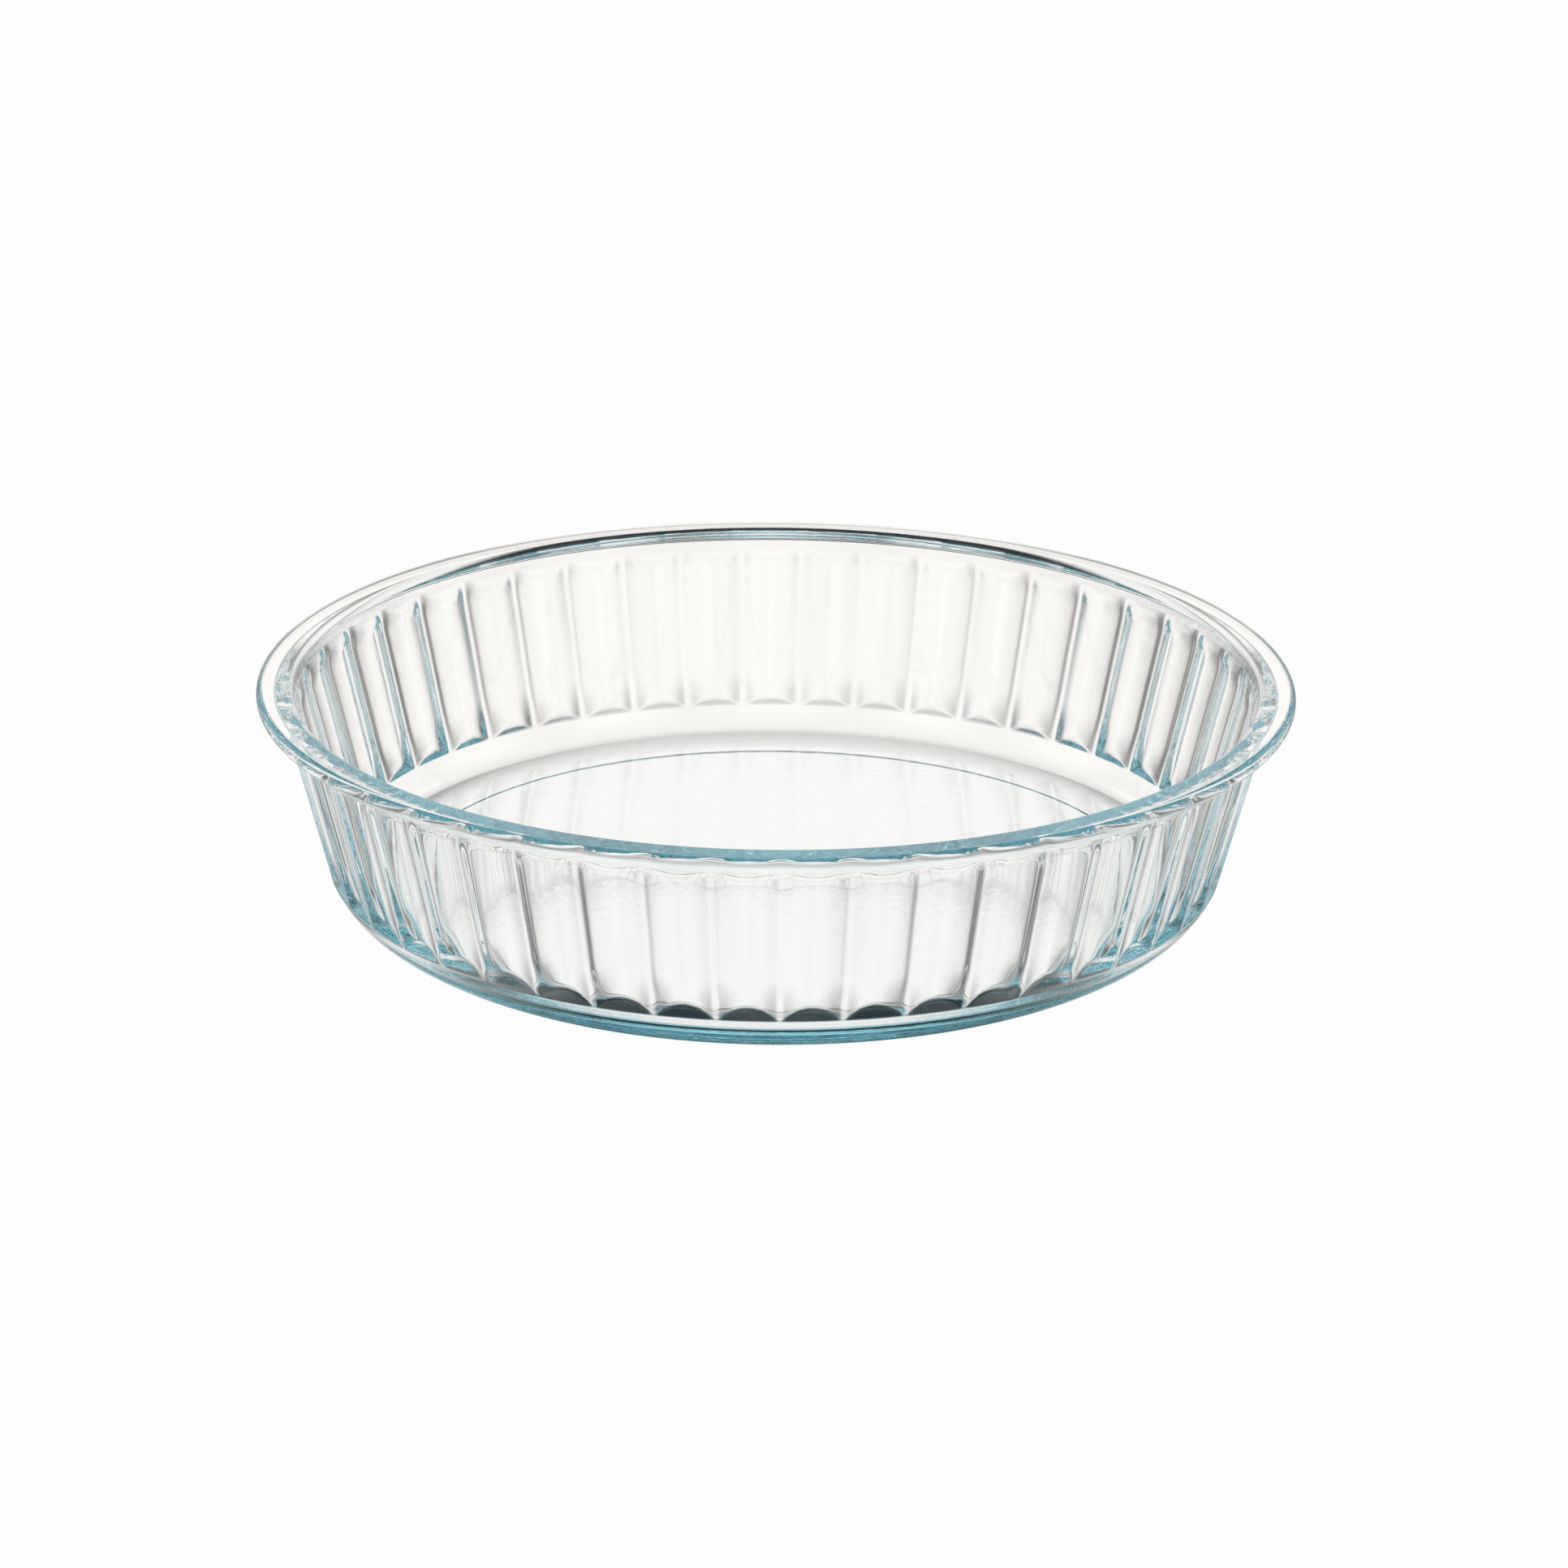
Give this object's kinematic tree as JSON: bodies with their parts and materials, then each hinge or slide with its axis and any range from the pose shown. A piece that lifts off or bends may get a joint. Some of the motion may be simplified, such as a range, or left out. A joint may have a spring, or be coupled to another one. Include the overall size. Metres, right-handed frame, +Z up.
{
  "type": "fluted baking dish",
  "caption": "Round shallow baking dish in clear pressed glass, with a flat rim flange, fluted wall grooved to match inside, and a narrow foot ring. Holds a cake, flan or pie.",
  "frame": {"origin": "centre of the foot, on the surface that the dish stands on", "axes": "+Z up along the dish's axis; one ridge of the fluted wall faces -Y"},
  "size_m": [0.26, 0.26, 0.0585],
  "materials": {
    "clear_glass": "clear glass with a faint blue-green tint, pressed in a mould and fire polished"
  },
  "bodies": {
    "root": {"fluted_dish": "clear_glass"}
  },
  "joints": []
}
